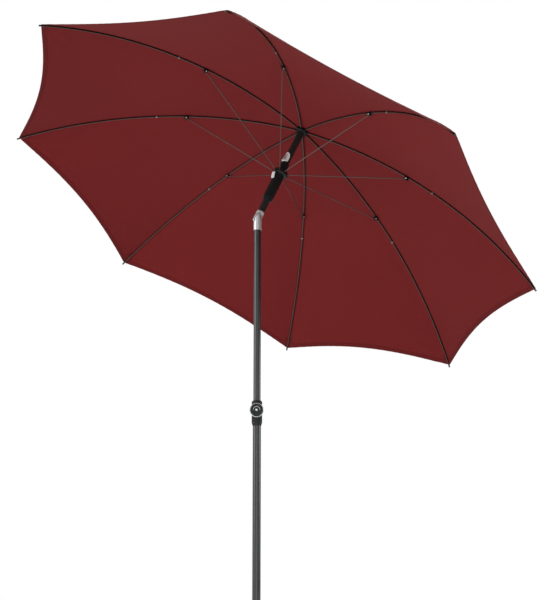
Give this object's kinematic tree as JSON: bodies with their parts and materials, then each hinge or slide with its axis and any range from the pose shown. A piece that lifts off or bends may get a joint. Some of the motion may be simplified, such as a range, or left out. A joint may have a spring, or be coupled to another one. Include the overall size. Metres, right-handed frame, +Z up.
{
  "type": "patio umbrella",
  "caption": "Tilting patio umbrella with a ribbed cloth canopy, sliding runner, height-adjustable pole and round weighted base.",
  "frame": {"origin": "centre of the base's underside, on the ground", "axes": "+Z up along the pole; the canopy leans toward +X; the clamp knobs face about -X -Y"},
  "size_m": [1.7699, 2.013, 2.2849],
  "materials": {
    "canopy_cloth": "matte",
    "anthracite_metal": "satin",
    "black_plastic": "satin",
    "grey_plastic": "satin",
    "silver_trim": "gloss",
    "zinc_steel": "satin",
    "rib_metal": "gloss",
    "rib_fitting": "satin",
    "stretcher_metal": "satin",
    "stone": "matte",
    "rubber": "matte"
  },
  "bodies": {
    "base": {"base_weight": "stone", "base_feet": "rubber", "base_socket": "anthracite_metal", "base_bolts": "zinc_steel"},
    "sleeve": {"reducer_sleeve": "black_plastic"},
    "base_clamp": {"base_knob": "black_plastic", "base_screw": "zinc_steel"},
    "pole": {"foot_plug": "black_plastic", "lower_tube": "anthracite_metal", "collar": "black_plastic"},
    "height_clamp": {"height_knob": "black_plastic", "knob_ring": "silver_trim", "height_screw": "zinc_steel"},
    "mast": {"mid_tube": "anthracite_metal", "guide_plug": "black_plastic", "lower_knuckle": "silver_trim", "tilt_pin": "zinc_steel"},
    "tilt_latch": {"tilt_button": "silver_trim"},
    "head": {"upper_knuckle": "silver_trim", "upper_tube": "anthracite_metal", "hub": "black_plastic", "hub_wire": "zinc_steel", "finial": "black_plastic"},
    "catch": {"spring_catch": "silver_trim"},
    "slider": {"runner": "black_plastic", "runner_wire": "zinc_steel", "button_spring": "zinc_steel"},
    "slider_latch": {"runner_button": "grey_plastic"},
    "rib_1": {"rib_1": "rib_metal", "rib_fittings_1": "rib_fitting", "canopy_1": "canopy_cloth"},
    "stretcher_1": {"stretcher_1": "stretcher_metal"},
    "rib_2": {"rib_2": "rib_metal", "rib_fittings_2": "rib_fitting", "canopy_2": "canopy_cloth"},
    "stretcher_2": {"stretcher_2": "stretcher_metal"},
    "rib_3": {"rib_3": "rib_metal", "rib_fittings_3": "rib_fitting", "canopy_3": "canopy_cloth"},
    "stretcher_3": {"stretcher_3": "stretcher_metal"},
    "rib_4": {"rib_4": "rib_metal", "rib_fittings_4": "rib_fitting", "canopy_4": "canopy_cloth"},
    "stretcher_4": {"stretcher_4": "stretcher_metal"},
    "rib_5": {"rib_5": "rib_metal", "rib_fittings_5": "rib_fitting", "canopy_5": "canopy_cloth"},
    "stretcher_5": {"stretcher_5": "stretcher_metal"},
    "rib_6": {"rib_6": "rib_metal", "rib_fittings_6": "rib_fitting", "canopy_6": "canopy_cloth"},
    "stretcher_6": {"stretcher_6": "stretcher_metal"},
    "rib_7": {"rib_7": "rib_metal", "rib_fittings_7": "rib_fitting", "canopy_7": "canopy_cloth"},
    "stretcher_7": {"stretcher_7": "stretcher_metal"},
    "rib_8": {"rib_8": "rib_metal", "rib_fittings_8": "rib_fitting", "canopy_8": "canopy_cloth"},
    "stretcher_8": {"stretcher_8": "stretcher_metal"}
  },
  "joints": [
    {"name": "pole_lift", "type": "slide", "parent": "base", "child": "sleeve", "axis": [0, 0, 1], "range_m": [0, 0.3]},
    {"name": "pole_turn", "type": "hinge", "parent": "sleeve", "child": "pole", "pos_m": [0, 0, 0.3], "axis": [0, 0, 1], "continuous": true},
    {"name": "base_knob_turn", "type": "hinge", "parent": "base", "child": "base_clamp", "pos_m": [0, 0, 0.36], "axis": [-0.592, -0.8059, 0], "continuous": true},
    {"name": "height_slide", "type": "slide", "parent": "pole", "child": "mast", "axis": [0, 0, 1], "range_m": [-0.5, 0.15]},
    {"name": "height_knob_turn", "type": "hinge", "parent": "pole", "child": "height_clamp", "pos_m": [0, 0, 1.054], "axis": [-0.592, -0.8059, 0], "continuous": true},
    {"name": "tilt", "type": "hinge", "parent": "mast", "child": "head", "pos_m": [0, 0, 1.74], "axis": [0, 1, 0], "range_deg": [-28.5, 0]},
    {"name": "tilt_button_press", "type": "slide", "parent": "mast", "child": "tilt_latch", "axis": [1, 0, 0], "range_m": [0, 0.0023], "stiffness_N_per_m": 600, "springref_m": -0.003},
    {"name": "catch_press", "type": "slide", "parent": "head", "child": "catch", "axis": [0.8788, 0, -0.4772], "range_m": [0, 0.0045], "stiffness_N_per_m": 300, "springref_m": -0.004},
    {"name": "runner_slide", "type": "slide", "parent": "head", "child": "slider", "axis": [0.4772, 0, 0.8788], "range_m": [-0.065, 0]},
    {"name": "runner_button_press", "type": "slide", "parent": "slider", "child": "slider_latch", "axis": [0.9833, 0, -0.1822], "range_m": [0, 0.002], "stiffness_N_per_m": 600, "springref_m": -0.003, "deforming": ["button_spring"]},
    {"name": "rib_hinge_1", "type": "hinge", "parent": "head", "child": "rib_1", "pos_m": [0.1816, 0, 2.1101], "axis": [0, -1, 0], "range_deg": [0, 5.3]},
    {"name": "stretcher_hinge_1", "type": "hinge", "parent": "slider", "child": "stretcher_1", "pos_m": [0.08053, 0, 1.93443], "axis": [0, -1, 0], "range_deg": [-3.8, 0]},
    {"name": "rib_hinge_2", "type": "hinge", "parent": "head", "child": "rib_2", "pos_m": [0.18598, -0.01202, 2.10772], "axis": [0.6214, -0.7071, -0.3374], "range_deg": [0, 5.3]},
    {"name": "stretcher_hinge_2", "type": "hinge", "parent": "slider", "child": "stretcher_2", "pos_m": [0.0862, -0.01556, 1.93136], "axis": [0.6214, -0.7071, -0.3374], "range_deg": [-3.8, 0]},
    {"name": "rib_hinge_3", "type": "hinge", "parent": "head", "child": "rib_3", "pos_m": [0.19654, -0.017, 2.10198], "axis": [0.8788, 0, -0.4772], "range_deg": [0, 5.3]},
    {"name": "stretcher_hinge_3", "type": "hinge", "parent": "slider", "child": "stretcher_3", "pos_m": [0.09987, -0.022, 1.92394], "axis": [0.8788, 0, -0.4772], "range_deg": [-3.8, 0]},
    {"name": "rib_hinge_4", "type": "hinge", "parent": "head", "child": "rib_4", "pos_m": [0.20711, -0.01202, 2.09625], "axis": [0.6214, 0.7071, -0.3374], "range_deg": [0, 5.3]},
    {"name": "stretcher_hinge_4", "type": "hinge", "parent": "slider", "child": "stretcher_4", "pos_m": [0.11354, -0.01556, 1.91651], "axis": [0.6214, 0.7071, -0.3374], "range_deg": [-3.8, 0]},
    {"name": "rib_hinge_5", "type": "hinge", "parent": "head", "child": "rib_5", "pos_m": [0.21148, 0, 2.09387], "axis": [0, 1, 0], "range_deg": [0, 5.3]},
    {"name": "stretcher_hinge_5", "type": "hinge", "parent": "slider", "child": "stretcher_5", "pos_m": [0.1192, 0, 1.91344], "axis": [0, 1, 0], "range_deg": [-3.8, 0]},
    {"name": "rib_hinge_6", "type": "hinge", "parent": "head", "child": "rib_6", "pos_m": [0.20711, 0.01202, 2.09625], "axis": [-0.6214, 0.7071, 0.3374], "range_deg": [0, 5.3]},
    {"name": "stretcher_hinge_6", "type": "hinge", "parent": "slider", "child": "stretcher_6", "pos_m": [0.11354, 0.01556, 1.91651], "axis": [-0.6214, 0.7071, 0.3374], "range_deg": [-3.8, 0]},
    {"name": "rib_hinge_7", "type": "hinge", "parent": "head", "child": "rib_7", "pos_m": [0.19654, 0.017, 2.10198], "axis": [-0.8788, 0, 0.4772], "range_deg": [0, 5.3]},
    {"name": "stretcher_hinge_7", "type": "hinge", "parent": "slider", "child": "stretcher_7", "pos_m": [0.09987, 0.022, 1.92394], "axis": [-0.8788, 0, 0.4772], "range_deg": [-3.8, 0]},
    {"name": "rib_hinge_8", "type": "hinge", "parent": "head", "child": "rib_8", "pos_m": [0.18598, 0.01202, 2.10772], "axis": [-0.6214, -0.7071, 0.3374], "range_deg": [0, 5.3]},
    {"name": "stretcher_hinge_8", "type": "hinge", "parent": "slider", "child": "stretcher_8", "pos_m": [0.0862, 0.01556, 1.93136], "axis": [-0.6214, -0.7071, 0.3374], "range_deg": [-3.8, 0]}
  ],
  "couplings": [
    {"joint": "rib_hinge_1", "follows": "runner_slide", "rad_per_m": -1.4132},
    {"joint": "stretcher_hinge_1", "follows": "runner_slide", "rad_per_m": 1.0125},
    {"joint": "rib_hinge_2", "follows": "runner_slide", "rad_per_m": -1.4132},
    {"joint": "stretcher_hinge_2", "follows": "runner_slide", "rad_per_m": 1.0125},
    {"joint": "rib_hinge_3", "follows": "runner_slide", "rad_per_m": -1.4132},
    {"joint": "stretcher_hinge_3", "follows": "runner_slide", "rad_per_m": 1.0125},
    {"joint": "rib_hinge_4", "follows": "runner_slide", "rad_per_m": -1.4132},
    {"joint": "stretcher_hinge_4", "follows": "runner_slide", "rad_per_m": 1.0125},
    {"joint": "rib_hinge_5", "follows": "runner_slide", "rad_per_m": -1.4132},
    {"joint": "stretcher_hinge_5", "follows": "runner_slide", "rad_per_m": 1.0125},
    {"joint": "rib_hinge_6", "follows": "runner_slide", "rad_per_m": -1.4132},
    {"joint": "stretcher_hinge_6", "follows": "runner_slide", "rad_per_m": 1.0125},
    {"joint": "rib_hinge_7", "follows": "runner_slide", "rad_per_m": -1.4132},
    {"joint": "stretcher_hinge_7", "follows": "runner_slide", "rad_per_m": 1.0125},
    {"joint": "rib_hinge_8", "follows": "runner_slide", "rad_per_m": -1.4132},
    {"joint": "stretcher_hinge_8", "follows": "runner_slide", "rad_per_m": 1.0125}
  ]
}
